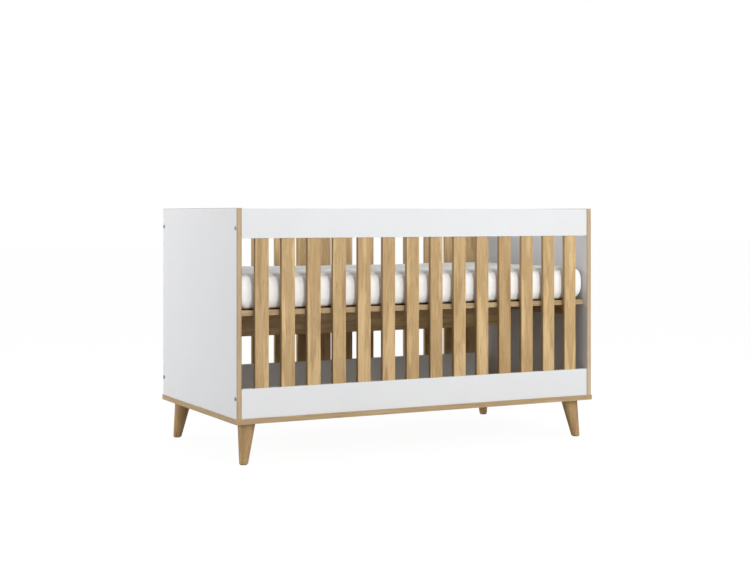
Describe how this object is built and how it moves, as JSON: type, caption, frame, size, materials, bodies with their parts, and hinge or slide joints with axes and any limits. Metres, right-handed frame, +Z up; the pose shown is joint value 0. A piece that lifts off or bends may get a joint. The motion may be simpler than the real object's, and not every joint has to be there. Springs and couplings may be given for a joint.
{
  "type": "baby crib",
  "caption": "Rectangular baby crib with white end panels and rails, upright wooden slats, splayed tapered legs, and a lift-out platform carrying a covered mattress.",
  "frame": {"origin": "on the floor, under the middle of the crib", "axes": "+X along the crib's length, +Y from its front towards its back, +Z up"},
  "size_m": [1.446, 0.756, 0.865],
  "materials": {
    "white_board": "satin",
    "oak_edge_band": "satin",
    "oak_board": "satin",
    "slat_wood": "satin",
    "leg_wood": "satin",
    "dowel_wood": "matte",
    "bolt_steel": "satin",
    "zinc_steel": "satin",
    "glide_plastic": "matte",
    "mattress_foam": "matte",
    "cover_fabric": "matte"
  },
  "bodies": {
    "crib": {"back_bottom_rail": "white_board", "back_left_leg": "leg_wood", "back_right_leg": "leg_wood", "back_slat_01": "slat_wood", "back_slat_02": "slat_wood", "back_slat_03": "slat_wood", "back_slat_04": "slat_wood", "back_slat_05": "slat_wood", "back_slat_06": "slat_wood", "back_slat_07": "slat_wood", "back_slat_08": "slat_wood", "back_slat_09": "slat_wood", "back_slat_10": "slat_wood", "back_slat_11": "slat_wood", "back_slat_12": "slat_wood", "back_slat_13": "slat_wood", "back_slat_14": "slat_wood", "back_top_rail": "white_board", "barrel_nuts": "zinc_steel", "base_board": "oak_board", "base_edge_band": "oak_edge_band", "base_screws": "zinc_steel", "foot_glides": "glide_plastic", "front_bottom_rail": "white_board", "front_left_leg": "leg_wood", "front_right_leg": "leg_wood", "front_slat_01": "slat_wood", "front_slat_02": "slat_wood", "front_slat_03": "slat_wood", "front_slat_04": "slat_wood", "front_slat_05": "slat_wood", "front_slat_06": "slat_wood", "front_slat_07": "slat_wood", "front_slat_08": "slat_wood", "front_slat_09": "slat_wood", "front_slat_10": "slat_wood", "front_slat_11": "slat_wood", "front_slat_12": "slat_wood", "front_slat_13": "slat_wood", "front_slat_14": "slat_wood", "front_top_rail": "white_board", "ledger_bolts": "bolt_steel", "left_end_panel": "white_board", "left_ledger": "oak_board", "leg_bolts": "zinc_steel", "leg_screws": "zinc_steel", "leg_tee_nuts": "zinc_steel", "panel_edge_bands": "oak_edge_band", "rail_bolts": "bolt_steel", "rail_dowels": "dowel_wood", "right_end_panel": "white_board", "right_ledger": "oak_board", "slat_dowels": "dowel_wood", "threaded_inserts": "zinc_steel"},
    "platform": {"platform_board": "oak_board", "platform_edge_band": "oak_edge_band", "platform_beam": "oak_board", "beam_screws": "zinc_steel"},
    "mattress": {"mattress_core": "mattress_foam", "mattress_cover": "cover_fabric"}
  },
  "joints": [
    {"name": "platform_lift", "type": "slide", "parent": "crib", "child": "platform", "axis": [0, 0, 1], "range_m": [0, 0.48]},
    {"name": "mattress_lift", "type": "slide", "parent": "platform", "child": "mattress", "axis": [0, 0, 1], "range_m": [0, 0.36]}
  ]
}
